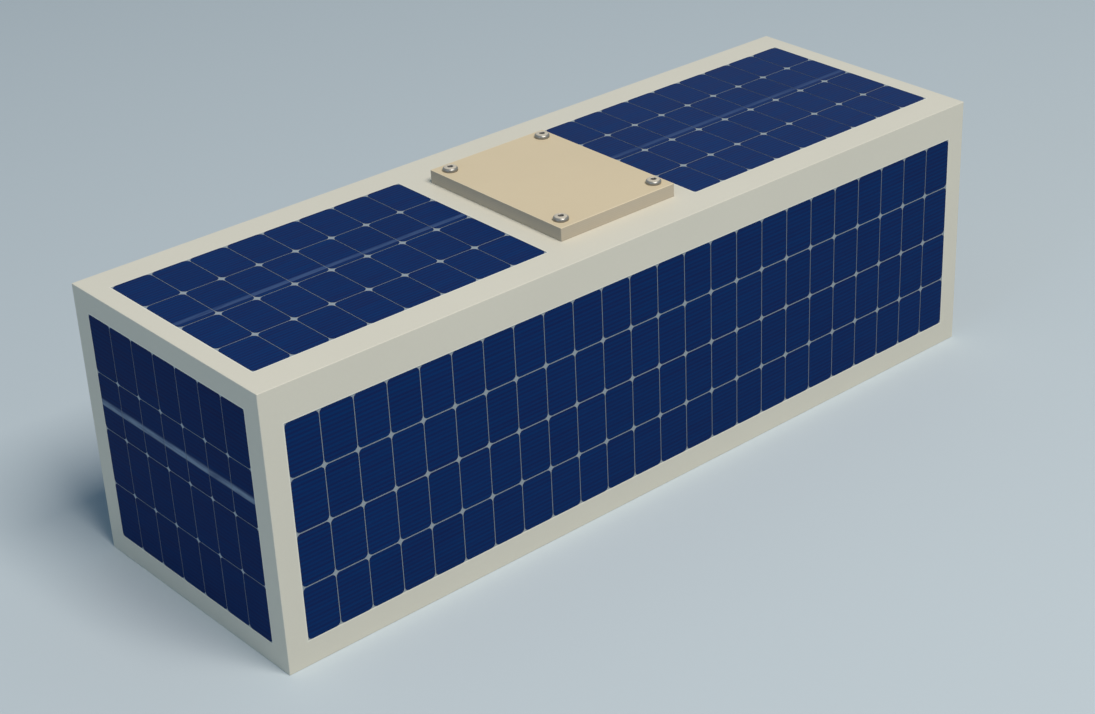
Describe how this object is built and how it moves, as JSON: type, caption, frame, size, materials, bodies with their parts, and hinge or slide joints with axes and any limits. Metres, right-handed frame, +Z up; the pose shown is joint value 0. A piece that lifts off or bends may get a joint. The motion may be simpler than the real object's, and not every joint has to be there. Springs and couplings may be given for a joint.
{
  "type": "three-unit box satellite with body-mounted solar arrays",
  "caption": "Long box satellite: white rails, end plates and panels, solar cells in every face, a screwed plate antenna on top and sprung separation pins in the far rail ends.",
  "frame": {"origin": "middle of the underside, on the face that the satellite lies on", "axes": "+X along the body towards the end with the separation pins, +Y from front to back, +Z up through the face with the plate antenna"},
  "size_m": [0.3418, 0.111, 0.1139],
  "materials": {
    "frame": "off-white satin paint",
    "board": "pale grey circuit board",
    "cell": "dark blue solar cell under cover glass",
    "plate": "tan ceramic-filled laminate, matte",
    "steel": "stainless steel",
    "switch": "black moulded plastic",
    "stack": "green circuit boards and battery block"
  },
  "bodies": {
    "chassis": {"rail_front_top": "frame", "rail_front_bottom": "frame", "rail_back_top": "frame", "rail_back_bottom": "frame", "left_end_plate": "frame", "right_end_plate": "frame", "front_panel": "frame", "back_panel": "frame", "top_panel": "frame", "bottom_panel": "frame", "front_solar_board": "board", "back_solar_board": "board", "left_end_solar_board": "board", "right_end_solar_board": "board", "top_left_solar_board": "board", "top_right_solar_board": "board", "bottom_left_solar_board": "board", "bottom_right_solar_board": "board", "front_solar_cells": "cell", "back_solar_cells": "cell", "left_end_solar_cells": "cell", "right_end_solar_cells": "cell", "top_left_solar_cells": "cell", "top_right_solar_cells": "cell", "bottom_left_solar_cells": "cell", "bottom_right_solar_cells": "cell", "antenna_plate": "plate", "plate_screw_front_left": "steel", "plate_screw_front_right": "steel", "plate_screw_back_left": "steel", "plate_screw_back_right": "steel", "avionics_stack": "stack", "spring_housing_front": "steel", "spring_housing_back": "steel", "deployment_switch_front": "switch", "deployment_switch_back": "switch"},
    "front_pin": {"separation_pin_front": "steel"},
    "back_pin": {"separation_pin_back": "steel"}
  },
  "joints": [
    {"name": "front_pin_slide", "type": "slide", "parent": "chassis", "child": "front_pin", "axis": [1, 0, 0], "range_m": [-0.0013, 0], "stiffness_N_per_m": 2660, "springref_m": 0.00023},
    {"name": "back_pin_slide", "type": "slide", "parent": "chassis", "child": "back_pin", "axis": [1, 0, 0], "range_m": [-0.0013, 0], "stiffness_N_per_m": 2660, "springref_m": 0.00023}
  ]
}
